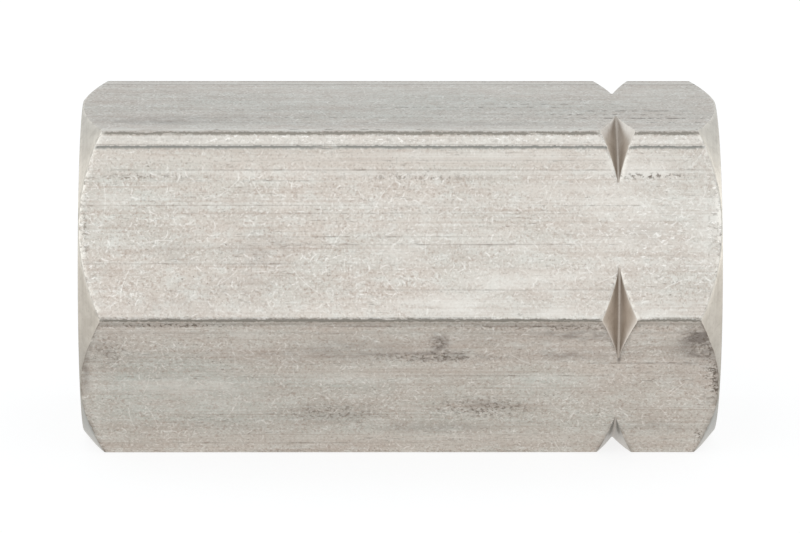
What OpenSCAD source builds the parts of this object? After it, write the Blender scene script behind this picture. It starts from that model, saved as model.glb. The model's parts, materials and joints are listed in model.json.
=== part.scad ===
// Coupling nut: one piece of hexagon bar with a right-hand thread in one end and a left-hand
// thread in the other. A V-groove turned across the corners marks the left-hand end.
//
// The axis lies along X with the marked end at +X, and the nut rests on a flat with +Z up.
// The origin is on the axis, halfway along the nut. Every length is in millimetres.

/* [Hexagon bar] */
// Width across the flats, which a spanner grips
across_flats = 19; // [17:0.5:24]
// Length over both end faces
nut_length = 36; // [30:1:60]
// Radius that drawing leaves along the six corners of the bar
corner_radius = 0.25; // [0.1:0.05:0.6]

/* [Drawing line] */
// Distance along a flat, from its sharp corner to the line that the die scores in it
line_offset = 0.75; // [0.5:0.05:1.5]
// Width of the scored line, from its steep side to the end of its gentle side
line_width = 0.2; // [0.1:0.02:0.4]
// Depth of the scored line below the flat
line_depth = 0.06; // [0.02:0.01:0.12]

/* [End chamfers] */
// How far the rim of each end face lies inside the flats
rim_inset = 0.04; // [0.02:0.01:0.5]
// Angle of the chamfer, measured from the end face
chamfer_angle = 40; // [25:1:50]

/* [Marking groove] */
// Distance from the marked end face to the middle of the groove
groove_offset = 5.8; // [4:0.1:8]
// Depth of the groove below the corners
groove_depth = 1.1; // [0.5:0.05:1.3]
// Angle between the two sides of the groove
groove_angle = 80; // [50:1:100]
// Width of the flat that the tool's nose leaves at the root of the groove
groove_root_width = 0.1; // [0.05:0.01:0.4]

/* [Threaded bore] */
// Outer diameter of both threads
thread_d = 12; // [8:0.5:12.5]
// Pitch of both threads, which with their diameter sets the size of the drilled hole
thread_pitch = 1.75; // [1:0.25:2]
// Extra radius of the countersink at each mouth, outside the thread
mouth_clearance = 0.3; // [0.1:0.05:0.8]
// Angle of the countersink, measured from the end face
mouth_angle = 45; // [30:1:60]
// Length of the recess in the middle, where both taps run out
recess_length = 3; // [2:0.5:8]
// Extra radius of that recess, outside the thread
recess_clearance = 0.2; // [0.1:0.05:0.6]

/* [Hidden] */

STEEL = "#d3cfc8";
SIDES = 6;
SCORED = [0, 1, 2, 4, 5];    // flats with a scored line, counted from the corner at +Y; the other is plain
SIDE_STEP = 360 / SIDES;     // angle from one corner to the next
HALF_SIDE = SIDE_STEP / 2;   // angle from a corner to the middle of the flat beside it
CORNER_STRIPS = 4;           // narrow strips that make up each rounded corner
STEEP_SHARE = 0.15;          // part of the scored line's width that its steep side takes
THREAD_FLANK = 30;           // angle of the sides of a thread, measured from square to the axis
THREAD_STEPS = 16;           // slices that make up one turn of a thread
SLICE_ANGLE = 360 / THREAD_STEPS;
SLICE_OVERLAP = 0.3;         // angle by which each slice runs into the next one
OVERRUN = 1;                 // how far a cutting shape runs past what it cuts
$fn = 96;

half_length = nut_length / 2;
flat_r = across_flats / 2;                                 // axis to a flat
side_length = 2 * flat_r * tan(HALF_SIDE);                 // width of a flat between its sharp corners
corner_arc_r = (flat_r - corner_radius) / cos(HALF_SIDE);  // axis to the centre of a corner's rounding
corner_r = corner_arc_r + corner_radius;                   // axis to the outside of a corner
clear_r = corner_r + OVERRUN;                              // outside the bar everywhere

rim_r = flat_r - rim_inset;                                // rim of an end face
groove_x = half_length - groove_offset;
groove_root_r = corner_r - groove_depth;

thread_r = thread_d / 2;                                   // roots of the threads
drill_r = (thread_d - thread_pitch) / 2;                   // crests of the threads
core_r = drill_r - OVERRUN;                                // inside the crests everywhere
slice_step = thread_pitch / THREAD_STEPS;                  // from one slice to the next along the bore
mouth_r = thread_r + mouth_clearance;
recess_r = thread_r + recess_clearance;
root_half = thread_pitch / 16;                             // half the flat at a thread's root
turn_half = root_half + (thread_r - drill_r) * tan(THREAD_FLANK);
first_turn = floor((recess_length / 2 - turn_half) / thread_pitch);
last_turn = ceil(half_length / thread_pitch);

// Point in the cross-section at radius r and angle a
function polar(r, a) = [r * cos(a), r * sin(a)];

// Point in the cross-section h out from the axis and t along the flat whose normal is at angle a
function on_flat(a, h, t) = [h * cos(a) - t * sin(a), h * sin(a) + t * cos(a)];

// Rounded corner at angle a, from one flat to the next
function corner_points(a) = [
    for (i = [0:CORNER_STRIPS])
        polar(corner_arc_r, a) + polar(corner_radius, a - HALF_SIDE + i * SIDE_STEP / CORNER_STRIPS)
];

// Scored line beside the corner where the flat at angle a starts: its steep side, then its gentle one
function line_points(a) =
    let (start = line_offset - side_length / 2)
    [
        on_flat(a, flat_r, start),
        on_flat(a, flat_r - line_depth, start + STEEP_SHARE * line_width),
        on_flat(a, flat_r, start + line_width)
    ];

// Cross-section of the drawn bar, seen from the marked end, with a flat at the top and one at the bottom
function bar_outline() = [
    for (side = [0:SIDES - 1])
        each concat(
            corner_points(side * SIDE_STEP),
            len(search(side, SCORED)) > 0 ? line_points(side * SIDE_STEP + HALF_SIDE) : []
        )
];

// Half profile of the chamfered ends
function end_profile() =
    let (chamfer_length = (clear_r - rim_r) * tan(chamfer_angle))
    [
        [0, -half_length],
        [rim_r, -half_length],
        [clear_r, chamfer_length - half_length],
        [clear_r, half_length - chamfer_length],
        [rim_r, half_length],
        [0, half_length]
    ];

// Half profile of what the grooving tool takes away, with the middle of the groove at y = 0
function groove_profile() =
    let (
        root_half = groove_root_width / 2,
        mouth_half = root_half + (clear_r - groove_root_r) * tan(groove_angle / 2)
    )
    [
        [groove_root_r, -root_half],
        [clear_r, -mouth_half],
        [clear_r, mouth_half],
        [groove_root_r, root_half]
    ];

// Section of one turn that the tap cuts between two crests, with its root at y
function turn_points(y) = [
    [drill_r, y - turn_half],
    [thread_r, y - root_half],
    [thread_r, y + root_half],
    [drill_r, y + turn_half]
];

// Half profile of one slice of a tapped hole, with the root of its turn 0 at y = shift
function slice_profile(shift) =
    let (
        inner_r = core_r - OVERRUN,
        start = (first_turn - 0.5) * thread_pitch,
        stop = (last_turn + 1.5) * thread_pitch
    )
    concat(
        [[inner_r, start], [drill_r, start]],
        [for (turn = [first_turn:last_turn]) each turn_points(turn * thread_pitch + shift)],
        [[drill_r, stop], [inner_r, stop]]
    );

// Lays a shape that was built along Z down along X, with its own X axis along Y
module along_x() {
    rotate([90, 0, 90]) children();
}

// Drawn hexagon bar, cut to length
module hexagon_bar() {
    translate([0, 0, -half_length])
        linear_extrude(height = nut_length)
            polygon(bar_outline());
}

// Everything inside the two faced and chamfered ends
module turned_ends() {
    rotate_extrude() polygon(end_profile());
}

// V-groove that only cuts the corners, because its root stays outside the flats
module marking_groove() {
    translate([0, 0, groove_x])
        rotate_extrude() polygon(groove_profile());
}

// Countersink that leads a bolt into the end at +Z
module mouth() {
    depth = (mouth_r - core_r) * tan(mouth_angle);
    translate([0, 0, half_length - depth])
        cylinder(h = depth + OVERRUN, r1 = core_r, r2 = mouth_r + OVERRUN / tan(mouth_angle));
}

// Hole with a right-hand thread, from inside the recess to past the end at +Z. It is made of slices round
// the axis, each a step further along the bore than the one before
module tapped_hole() {
    for (step = [0:THREAD_STEPS - 1])
        rotate_extrude(angle = SLICE_ANGLE + SLICE_OVERLAP, start = step * SLICE_ANGLE)
            polygon(slice_profile((step + 0.5) * slice_step));
}

// Hole from end to end, with the recess in the middle. The left-hand thread is in the end at +Z, which
// becomes the marked end, and the right-hand one in the other end
module bore() {
    cylinder(h = nut_length + 2 * OVERRUN, r = core_r, center = true);
    cylinder(h = recess_length, r = recess_r, center = true);
    mirror([0, 1, 0]) tapped_hole();
    rotate([180, 0, 0]) tapped_hole();
    mouth();
    mirror([0, 0, 1]) mouth();
}

module coupling_nut() {
    color(STEEL)
        along_x()
            difference() {
                intersection() {
                    hexagon_bar();
                    turned_ends();
                }
                marking_groove();
                bore();
            }
}

coupling_nut();
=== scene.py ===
"""Dresses the coupling nut: its full mesh, its stainless steel finishes, and a pale studio around it."""

import json
import logging
import math
from abc import ABC, abstractmethod
from dataclasses import dataclass, field
from enum import Enum

import bmesh
import bpy
import numpy as np
from bpy.types import Material, Node, NodeSocket, NodeTree, Object
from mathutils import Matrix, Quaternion, Vector


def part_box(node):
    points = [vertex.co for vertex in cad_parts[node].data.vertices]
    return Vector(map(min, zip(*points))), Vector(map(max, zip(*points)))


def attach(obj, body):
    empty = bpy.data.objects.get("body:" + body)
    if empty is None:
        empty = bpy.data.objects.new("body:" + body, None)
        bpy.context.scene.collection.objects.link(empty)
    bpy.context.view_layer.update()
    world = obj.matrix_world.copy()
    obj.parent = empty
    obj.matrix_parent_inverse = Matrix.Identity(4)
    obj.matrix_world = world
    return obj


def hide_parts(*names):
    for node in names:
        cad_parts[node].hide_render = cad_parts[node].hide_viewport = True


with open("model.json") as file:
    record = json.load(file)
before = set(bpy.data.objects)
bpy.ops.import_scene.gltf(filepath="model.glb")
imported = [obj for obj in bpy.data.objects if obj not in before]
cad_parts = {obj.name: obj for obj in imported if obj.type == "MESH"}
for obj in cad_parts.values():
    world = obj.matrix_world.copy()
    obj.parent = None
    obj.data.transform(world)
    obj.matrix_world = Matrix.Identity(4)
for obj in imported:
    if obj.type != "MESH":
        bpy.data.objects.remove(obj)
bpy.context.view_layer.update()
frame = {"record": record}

MM = 0.001              # one millimetre, in the scene's metres
NODE = "coupling_nut"
BODY = "root"

SIDES = 6
SIDE_STEP = 2 * math.pi / SIDES
HALF_SIDE = SIDE_STEP / 2
MERGE = 0.0005          # vertices closer than this are one, in millimetres
UNROLLED = "unrolled"   # the map of the drawn outside, rolled out flat, in millimetres
STRIP_GAP = 20.0        # distance from the start of one flat to the start of the next in that map
EDGE = "edge"           # how near a vertex is to a turned edge, from 0 to 1
KNOCK_SEED = 5          # sets the knocks' random numbers

MIX_BELOW, MIX_ABOVE = 6, 7   # a Mix node's two colour inputs, which share their names with others
MIXED = 2                     # its colour output
WITHIN_SEED = 0.5             # sets a pattern's noise apart from that of the patches that hold it
WHITE = (1.0, 1.0, 1.0, 1.0)

Source = Node | NodeSocket   # what feeds an input; a node stands for its first output

log = logging.getLogger("scene")


class Surface(Enum):
    """How a stretch of the nut's surface was made, in the order of the mesh's material slots."""

    DRAWN = 0
    TURNED = 1
    GROOVED = 2
    TAPPED = 3


class Flat(Enum):
    """The flats, in the order in which they follow each other from the corner at +Y."""

    BACK_UPPER = 0
    TOP = 1
    FRONT_UPPER = 2
    FRONT_LOWER = 3
    BOTTOM = 4
    BACK_LOWER = 5


def linear(hex_colour: str) -> tuple[float, float, float, float]:
    """Turns an sRGB hex colour into the linear colour that a shader takes.

    Args:
        hex_colour: Six hex digits after a hash sign.

    Returns:
        Linear red, green and blue, and an alpha of 1.
    """
    channels = [int(hex_colour[i:i + 2], 16) / 255 for i in (1, 3, 5)]
    bent = [c / 12.92 if c <= 0.04045 else ((c + 0.055) / 1.055) ** 2.4 for c in channels]
    return (*bent, 1.0)


def add_node(tree: NodeTree, kind: str, settings: dict | None = None,
             links: dict[str | int, Source] | None = None) -> Node:
    """Adds one node with its settings and links.

    Args:
        tree: The node tree that gets it.
        kind: The node's type, without its ShaderNode prefix.
        settings: Values by the name of a property of the node, or else by the name or number of an input.
        links: What feeds each input, by the input's name or number.

    Returns:
        The new node.
    """
    node = tree.nodes.new("ShaderNode" + kind)
    for name, value in (settings or {}).items():
        if isinstance(name, str) and hasattr(node, name):
            setattr(node, name, value)
        else:
            node.inputs[name].default_value = value
    for name, source in (links or {}).items():
        tree.links.new(source.outputs[0] if isinstance(source, Node) else source, node.inputs[name])
    return node


def new_material(name: str) -> tuple[Material, NodeTree]:
    """Makes an empty node material.

    Args:
        name: Its name.

    Returns:
        The material, and its node tree.
    """
    material = bpy.data.materials.new(name)
    material.use_nodes = True
    material.node_tree.nodes.clear()
    return material, material.node_tree


@dataclass(frozen=True)
class NutSizes:
    """The nut's sizes, in millimetres and radians."""

    length: float
    across_flats: float
    drill_r: float
    corner_radius: float = 0.25
    line_offset: float = 0.75
    line_width: float = 0.2
    line_depth: float = 0.06
    steep_share: float = 0.15
    plain: Flat = Flat.FRONT_LOWER       # the flat without a scored line
    rim_inset: float = 0.04
    chamfer_angle: float = math.radians(40)
    groove_offset: float = 5.8
    groove_depth: float = 1.1
    groove_angle: float = math.radians(80)
    groove_root_width: float = 0.1
    thread_d: float = 12.0
    thread_pitch: float = 1.75
    thread_flank: float = math.radians(30)
    mouth_clearance: float = 0.3
    mouth_angle: float = math.radians(45)
    recess_length: float = 3.0
    recess_clearance: float = 0.2

    @classmethod
    def from_frame(cls) -> "NutSizes":
        """Reads the length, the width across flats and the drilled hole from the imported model."""
        low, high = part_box(NODE)
        hole = next(m for m in frame["record"]["mounts"] if m["kind"] == "threaded_hole")
        return cls((high.x - low.x) / MM, (high.z - low.z) / MM, hole["dims"]["r_mm"])

    @property
    def flat_r(self) -> float:
        """Distance from the axis to a flat."""
        return self.across_flats / 2

    @property
    def side_length(self) -> float:
        """Width of a flat between its sharp corners."""
        return 2 * self.flat_r * math.tan(HALF_SIDE)

    @property
    def corner_arc_r(self) -> float:
        """Distance from the axis to the centre of a corner's rounding."""
        return (self.flat_r - self.corner_radius) / math.cos(HALF_SIDE)

    @property
    def corner_setback(self) -> float:
        """Distance along a flat from its sharp corner to the start of the rounding."""
        return self.corner_radius * math.tan(HALF_SIDE)

    @property
    def rim_r(self) -> float:
        """Radius of an end face."""
        return self.flat_r - self.rim_inset

    @property
    def end_x(self) -> float:
        """Distance from the middle of the nut to an end face."""
        return self.length / 2

    @property
    def groove_x(self) -> float:
        """Place of the groove's middle along the nut."""
        return self.end_x - self.groove_offset

    @property
    def groove_root_r(self) -> float:
        """Radius of the groove's root."""
        return self.corner_arc_r + self.corner_radius - self.groove_depth

    @property
    def thread_r(self) -> float:
        """Outer radius of the threads."""
        return self.thread_d / 2

    @property
    def thread_root(self) -> float:
        """Half the flat at a thread's root."""
        return self.thread_pitch / 16

    @property
    def mouth_r(self) -> float:
        """Radius of a countersink at the end face."""
        return self.thread_r + self.mouth_clearance


def soft_min(a: np.ndarray, b: np.ndarray, width: float) -> np.ndarray:
    """Gives the lesser of two heights, with the edge between them rounded over a width."""
    blend = np.maximum(width - np.abs(a - b), 0) / width
    return np.minimum(a, b) - blend ** 2 * width / 4


def evenly(start: float, stop: float, step: float) -> np.ndarray:
    """Gives even places from start to stop, about a step apart, with both ends."""
    return np.linspace(start, stop, max(round((stop - start) / step), 1) + 1)


def rings(x: float, radii: tuple[float, ...], angles: np.ndarray) -> np.ndarray:
    """Gives the points of one or more rings about the axis, one ring after another."""
    radius = np.array(radii)[:, None]
    return np.stack(np.broadcast_arrays(x, radius * np.cos(angles), radius * np.sin(angles)), -1)


@dataclass
class MeshParts:
    """Vertices and faces, with what each carries, gathered before they become one mesh."""

    points: list[np.ndarray] = field(default_factory=list)
    edges: list[np.ndarray] = field(default_factory=list)
    faces: list[list[int]] = field(default_factory=list)
    surfaces: list[np.ndarray] = field(default_factory=list)
    places: list[np.ndarray] = field(default_factory=list)
    count: int = 0

    def add_points(self, points: np.ndarray, edge: np.ndarray | float = 0.0) -> np.ndarray:
        """Adds vertices.

        Args:
            points: Places in millimetres, with X, Y and Z last.
            edge: How near each vertex is to a turned edge, from 0 to 1.

        Returns:
            The vertices' numbers, in the shape of the points.
        """
        shape = points.shape[:-1]
        self.points.append(points.reshape(-1, 3))
        self.edges.append(np.broadcast_to(edge, shape).reshape(-1))
        first, self.count = self.count, self.count + int(np.prod(shape))
        return np.arange(first, self.count).reshape(shape)

    def add_grid(self, rows: np.ndarray, surface: Surface | np.ndarray,
                 corners: np.ndarray | None = None) -> None:
        """Adds the quads between the rows of a grid of vertices.

        Args:
            rows: Vertex numbers, one row after another.
            surface: How the faces were made, for all of them or for each face by row and column.
            corners: Places in the unrolled map of each face's four corners.
        """
        quads = np.stack([rows[:-1, :-1], rows[:-1, 1:], rows[1:, 1:], rows[1:, :-1]], -1)
        kinds = surface.value if isinstance(surface, Surface) else surface
        self.faces.extend(quads.reshape(-1, 4).tolist())
        self.surfaces.append(np.broadcast_to(kinds, quads.shape[:2]).reshape(-1))
        self.places.append(np.zeros((quads.size, 2)) if corners is None else corners.reshape(-1, 2))

    def add_triangles(self, triangles: list[list[int]], surface: Surface) -> None:
        """Adds triangles that were all made one way.

        Args:
            triangles: The numbers of each one's vertices.
            surface: How they were made.
        """
        self.faces.extend(triangles)
        self.surfaces.append(np.full(len(triangles), surface.value))
        self.places.append(np.zeros((3 * len(triangles), 2)))

    def build(self, name: str) -> Object:
        """Makes one closed mesh of everything gathered.

        Args:
            name: Name of the mesh and of its object.

        Returns:
            The object, linked to the scene.
        """
        mesh = bpy.data.meshes.new(name)
        mesh.from_pydata(np.concatenate(self.points) * MM, [], self.faces)
        mesh.polygons.foreach_set("material_index", np.concatenate(self.surfaces).astype(np.int32))
        unrolled = mesh.uv_layers.new(name=UNROLLED)
        unrolled.uv.foreach_set("vector", np.concatenate(self.places).reshape(-1).astype(np.float32))
        edge = mesh.attributes.new(EDGE, "FLOAT", "POINT")
        edge.data.foreach_set("value", np.concatenate(self.edges).astype(np.float32))
        shape = bmesh.new()
        shape.from_mesh(mesh)
        bmesh.ops.remove_doubles(shape, verts=shape.verts, dist=MERGE * MM)
        bmesh.ops.recalc_face_normals(shape, faces=shape.faces)
        shape.to_mesh(mesh)
        shape.free()
        mesh.shade_smooth()
        nut = bpy.data.objects.new(name, mesh)
        bpy.context.scene.collection.objects.link(nut)
        return nut


@dataclass
class Outline:
    """Places around the bar's outline where a lengthwise line of vertices runs, in order of angle."""

    y: np.ndarray
    z: np.ndarray
    place: np.ndarray    # distance along the flat from its first sharp corner
    side: np.ndarray     # number of that flat

    @property
    def radius(self) -> np.ndarray:
        """Distance of each place from the axis."""
        return np.hypot(self.y, self.z)

    @property
    def angle(self) -> np.ndarray:
        """Angle of each place about the axis, from 0 to a full turn."""
        return np.mod(np.arctan2(self.z, self.y), 2 * math.pi)


@dataclass
class Rows:
    """Rows of vertices round the bar, gathered in order of X.

    A row has a place along the bar for each of its vertices. With it goes how the faces before it were made,
    and how near it is to a turned edge, from 0 to 1.
    """

    rounding: float      # distance from a turned edge to the drawn row beside it, in millimetres
    places: list[np.ndarray] = field(default_factory=list)
    kinds: list[int] = field(default_factory=list)
    edges: list[float] = field(default_factory=list)

    def add(self, x: np.ndarray, kind: Surface, edge: float) -> None:
        """Adds a row."""
        self.places.append(x)
        self.kinds.append(kind.value)
        self.edges.append(edge)

    def add_drawn(self, start: np.ndarray, stop: np.ndarray, shares: np.ndarray) -> None:
        """Adds the rows of a drawn stretch between two turned edges.

        Args:
            start: Where the stretch starts at each column.
            stop: Where it stops.
            shares: Place of each row between them, from 0 to 1.
        """
        start, stop = start + self.rounding, stop - self.rounding
        for share in shares:
            self.add(start + (stop - start) * share, Surface.DRAWN, 0.5 if share in (0, 1) else 0.0)

    def add_cut(self, base: float, side: int, steps: list[tuple[np.ndarray, float]], kind: Surface) -> None:
        """Adds the rows of a cut, between its base and the drawn surface.

        Args:
            base: Place of the cut's base along the bar.
            side: 1 where the cut runs from its base towards +X, or -1 where it runs towards -X.
            steps: How far each row lies from the base, and how near it is to a turned edge, base first.
            kind: How the cut was made.
        """
        for depth, edge in steps[::side]:
            self.add(base + side * depth, Surface.DRAWN if side < 0 and edge == 1 else kind, edge)


class Finish(ABC):
    """How one kind of surface looks."""

    @abstractmethod
    def build(self) -> Material:
        """Makes its material, named for the metal and how the surface was made."""


@dataclass
class NutBody:
    """The nut: drawn outline, chamfered ends, marking groove, end faces and both threads."""

    sizes: NutSizes
    column_step: float = 0.22   # from one lengthwise line of vertices to the next, on a plain stretch
    column_near: float = 0.07   # the same, beside the scored line
    row_step: float = 0.24      # from one row of vertices round the bar to the next
    corner_strips: int = 6
    rounding: float = 0.06      # width over which the turned edges are rounded over
    thread_columns: int = 96
    thread_near: float = 0.03   # width over which the edges of a thread are rounded over
    knock_depth: float = 0.09
    knock_spread: int = 9       # columns that a wide knock reaches over
    parts: MeshParts = field(default_factory=MeshParts)

    def outline(self) -> Outline:
        """Works out the bar's outline, flat by flat, with half a rounded corner on each side of a flat.

        Returns:
            The outline, once round the bar.
        """
        s = self.sizes
        near, last = self.column_near, s.side_length
        line, after = s.line_offset + 0.4 * s.line_width, s.line_offset + s.line_width
        bottom = line + s.steep_share * s.line_width
        # The lines of vertices crowd towards the corners and the scored line.
        flat = np.concatenate([
            [s.corner_setback, 0.22, 0.36, 0.52, line - near, line, bottom, after],
            evenly(after + near, last - 0.6, self.column_step),
            [last - 0.4, last - 0.25, last - s.corner_setback],
        ])
        score = np.interp(flat, [line, bottom, after], [0, s.line_depth, 0])
        turns = np.linspace(0, HALF_SIDE, self.corner_strips // 2 + 1)
        shift = s.corner_radius * (math.tan(HALF_SIDE) - np.tan(HALF_SIDE - turns))
        rise = s.flat_r - s.corner_radius * (1 - np.cos(HALF_SIDE - turns))
        inset = s.corner_setback - s.corner_radius * np.sin(HALF_SIDE - turns)
        place = np.concatenate([shift[:-1], flat, last - shift[:0:-1]])
        across = np.concatenate([inset[:-1], flat, last - inset[:0:-1]]) - last / 2
        scored = (np.arange(SIDES) != s.plain.value)[:, None]
        up, down = (np.broadcast_to(part, (SIDES, len(turns) - 1)) for part in (rise[:-1], rise[:0:-1]))
        height = np.concatenate([up, s.flat_r - scored * score, down], 1)
        facing = (HALF_SIDE + SIDE_STEP * np.arange(SIDES))[:, None]
        return Outline(
            (height * np.cos(facing) - across * np.sin(facing)).reshape(-1),
            (height * np.sin(facing) + across * np.cos(facing)).reshape(-1),
            np.tile(place, SIDES),
            np.repeat(np.arange(SIDES), len(place)),
        )

    def rows(self, outline_r: np.ndarray) -> Rows:
        """Works out where each column's vertices lie along the bar, from one rim to the other.

        Args:
            outline_r: The outline's radius at each column.

        Returns:
            The rows of vertices, one after another.
        """
        s = self.sizes
        chamfer = (outline_r - s.rim_r) * math.tan(s.chamfer_angle)
        worn = self.knocks(len(outline_r))
        flank = np.maximum(outline_r - s.groove_root_r, 0.02) * math.tan(s.groove_angle / 2)
        root = s.groove_root_width / 2
        # Both cuts have a row close to the edge that they leave, where its rounding starts.
        near, beside = (np.minimum(self.rounding, cut * 0.3) for cut in (chamfer, flank))
        inward = [(0 * chamfer, 0.6), (near / 2, 0.3), (chamfer * 0.35, 0), (chamfer * 0.7, 0),
                  (chamfer - near, 0.5), (chamfer + worn, 1)]
        outward = [(0.6 * root + 0 * flank, 0), (root + 0 * flank, 0), (root + flank * 0.33, 0),
                   (root + flank * 0.67, 0), (root + flank - beside, 0.4), (root + flank, 1)]
        plain_shares, marked_shares = (evenly(0, 1, self.row_step / length)
                                       for length in (s.groove_x + s.end_x, s.groove_offset))
        rows = Rows(self.rounding)
        rows.add_cut(-s.end_x, 1, inward, Surface.TURNED)
        rows.add_drawn(chamfer + worn - s.end_x, s.groove_x - root - flank, plain_shares)
        rows.add_cut(s.groove_x, -1, outward, Surface.GROOVED)
        rows.add_cut(s.groove_x, 1, outward, Surface.GROOVED)
        rows.add_drawn(s.groove_x + root + flank, s.end_x - chamfer - worn, marked_shares)
        rows.add_cut(s.end_x, -1, inward, Surface.TURNED)
        return rows

    def knocks(self, count: int) -> np.ndarray:
        """Works out how far knocks have set the chamfers' outer edges back along the bar.

        Args:
            count: How many columns there are.

        Returns:
            The distance at each column, in millimetres.
        """
        # The powers keep most of the knocks slight.
        chance = np.random.default_rng(KNOCK_SEED).random((2, count))
        sharp = chance[0] ** 4
        spread = np.full(self.knock_spread, 1 / self.knock_spread)
        wide = np.convolve(np.resize(chance[1], count + self.knock_spread - 1), spread, "valid") ** 3
        return self.knock_depth * (0.6 * sharp + 2.4 * wide)

    def turned_r(self, x: np.ndarray) -> np.ndarray:
        """Works out the radius that the lathe leaves.

        Args:
            x: Places along the bar, in millimetres.

        Returns:
            The radius at each of them.
        """
        s = self.sizes
        chamfer = s.rim_r + (s.end_x - np.abs(x)) / math.tan(s.chamfer_angle)
        from_root = np.maximum(np.abs(x - s.groove_x) - s.groove_root_width / 2, 0)
        return np.minimum(chamfer, s.groove_root_r + from_root / math.tan(s.groove_angle / 2))

    def add_outside(self, outline: Outline) -> np.ndarray:
        """Adds everything from one rim to the other.

        Args:
            outline: The bar's outline.

        Returns:
            The grid of its vertices, one row after another.
        """
        s = self.sizes
        rows = self.rows(outline.radius)
        x, edges = np.array(rows.places), np.array(rows.edges)
        radius = soft_min(np.broadcast_to(outline.radius, x.shape), self.turned_r(x), self.rounding)
        radius[[0, -1]] = s.rim_r
        points = np.stack([x, radius * np.cos(outline.angle), radius * np.sin(outline.angle)], -1)
        # Where the groove misses the bar there is no edge.
        sharp = (outline.radius > s.groove_root_r) | (np.abs(x - s.groove_x) > s.groove_offset / 2)
        grid = self.parts.add_points(points, edges[:, None] * sharp)
        start = outline.place + outline.side * STRIP_GAP
        stop = np.where(np.roll(outline.side, -1) != outline.side, s.side_length, np.roll(outline.place, -1))
        stop = stop + outline.side * STRIP_GAP
        round_x = np.concatenate([x, x[:, :1]], 1)
        along = np.stack([round_x[:-1, :-1], round_x[:-1, 1:], round_x[1:, 1:], round_x[1:, :-1]], -1)
        around = np.broadcast_to(np.stack([start, stop, stop, start], -1), along.shape)
        uncut = np.maximum(outline.radius, np.roll(outline.radius, -1)) < s.groove_root_r
        kinds = np.array(rows.kinds[1:])[:, None]
        kinds = np.where(uncut & (kinds == Surface.GROOVED.value), Surface.DRAWN.value, kinds)
        self.parts.add_grid(np.concatenate([grid, grid[:, :1]], 1), kinds, np.stack([along, around], -1))
        return grid

    def add_end_face(self, rim: np.ndarray, outline: Outline, x: float) -> None:
        """Adds an end face, from its rim to the mouth of the countersink.

        Args:
            rim: The rim's vertices.
            outline: The outline, whose columns the rim's vertices lie on.
            x: Place of the end face along the bar.
        """
        s = self.sizes
        # The rings next to the rim and to the mouth lie close to them, which keeps both edges crisp.
        wide_r = (s.rim_r - 0.04, s.rim_r - 1, s.mouth_r + 1.2, s.mouth_r + 0.5)
        narrow_r = (s.mouth_r + 0.2, s.mouth_r + 0.03, s.mouth_r)
        grid = np.concatenate([rim[None], self.parts.add_points(rings(x, wide_r, outline.angle))])
        self.parts.add_grid(np.concatenate([grid, grid[:, :1]], 1), Surface.TURNED)
        turns = np.linspace(0, 2 * math.pi, self.thread_columns, endpoint=False)
        narrow = self.parts.add_points(rings(x, narrow_r, turns))
        self.parts.add_grid(np.concatenate([narrow, narrow[:, :1]], 1), Surface.TURNED)
        self.stitch(grid[-1], outline.angle, narrow[0], turns)

    def stitch(self, outer: np.ndarray, outer_angle: np.ndarray, inner: np.ndarray,
               inner_angle: np.ndarray) -> None:
        """Joins two rings with different numbers of vertices by triangles, going round by angle.

        Args:
            outer: The outer ring's vertices.
            outer_angle: Their angles about the axis.
            inner: The inner ring's vertices, in order of angle.
            inner_angle: Their angles about the axis.
        """
        order = np.argsort(outer_angle)
        outer, outer_angle = outer[order], outer_angle[order]
        outer_next = np.append(outer_angle[1:], outer_angle[0] + 2 * math.pi)
        inner_next = np.append(inner_angle[1:], inner_angle[0] + 2 * math.pi)
        triangles = []
        i = j = 0
        while i < len(outer) or j < len(inner):
            a, b = outer[i % len(outer)], inner[j % len(inner)]
            if j == len(inner) or (i < len(outer) and outer_next[i] <= inner_next[j]):
                i += 1
                triangles.append([int(a), int(outer[i % len(outer)]), int(b)])
            else:
                j += 1
                triangles.append([int(a), int(inner[j % len(inner)]), int(b)])
        self.parts.add_triangles(triangles, Surface.TURNED)

    def thread_profile(self, x: np.ndarray) -> np.ndarray:
        """Works out a thread's radius.

        Args:
            x: Distances along the axis from the middle of a root, in millimetres.

        Returns:
            The radius at each of them.
        """
        s = self.sizes
        from_root = np.abs(np.mod(x + s.thread_pitch / 2, s.thread_pitch) - s.thread_pitch / 2)
        flank = s.thread_r - (from_root - s.thread_root) / math.tan(s.thread_flank)
        return np.clip(flank, s.drill_r, s.thread_r)

    def add_thread(self, end: int) -> None:
        """Adds one end's thread with its countersink and half of the recess.

        Args:
            end: 1 for the marked end, whose thread is left-handed, or -1 for the plain end, whose thread
                is its mirror image and so right-handed.
        """
        s = self.sizes
        pitch, near, root = s.thread_pitch, self.thread_near, s.thread_root
        crest = root + (s.thread_r - s.drill_r) * math.tan(s.thread_flank)
        half_turn = [0, root - near, root + near, (root + crest) / 2, crest - near, crest + near, pitch / 2]
        one_turn = np.concatenate([-np.array(half_turn[-2:0:-1]), half_turn])
        deep = s.recess_length / 2
        # The turns run past both ends of the thread and are then held between them.
        turns_in, turns_out = math.floor(deep / pitch) - 1, math.ceil(s.end_x / pitch) + 2
        helix = np.concatenate([one_turn + turn * pitch for turn in range(turns_in, turns_out)])
        angles = np.linspace(0, 2 * math.pi, self.thread_columns + 1)
        lead = pitch * angles / (2 * math.pi)
        x = np.clip(helix[:, None] - lead, deep, s.end_x)
        countersink = s.mouth_r - (s.end_x - x) / math.tan(s.mouth_angle)
        radius = np.maximum(self.thread_profile(x + lead), countersink)
        thread = np.stack([end * x, radius * np.cos(angles), radius * np.sin(angles)], -1)
        recess_r = s.thread_r + s.recess_clearance
        walls = [rings(place, (recess_r,), angles) for place in (0.0, end * deep)]
        self.parts.add_grid(self.parts.add_points(np.concatenate([*walls, thread])), Surface.TAPPED)

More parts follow.
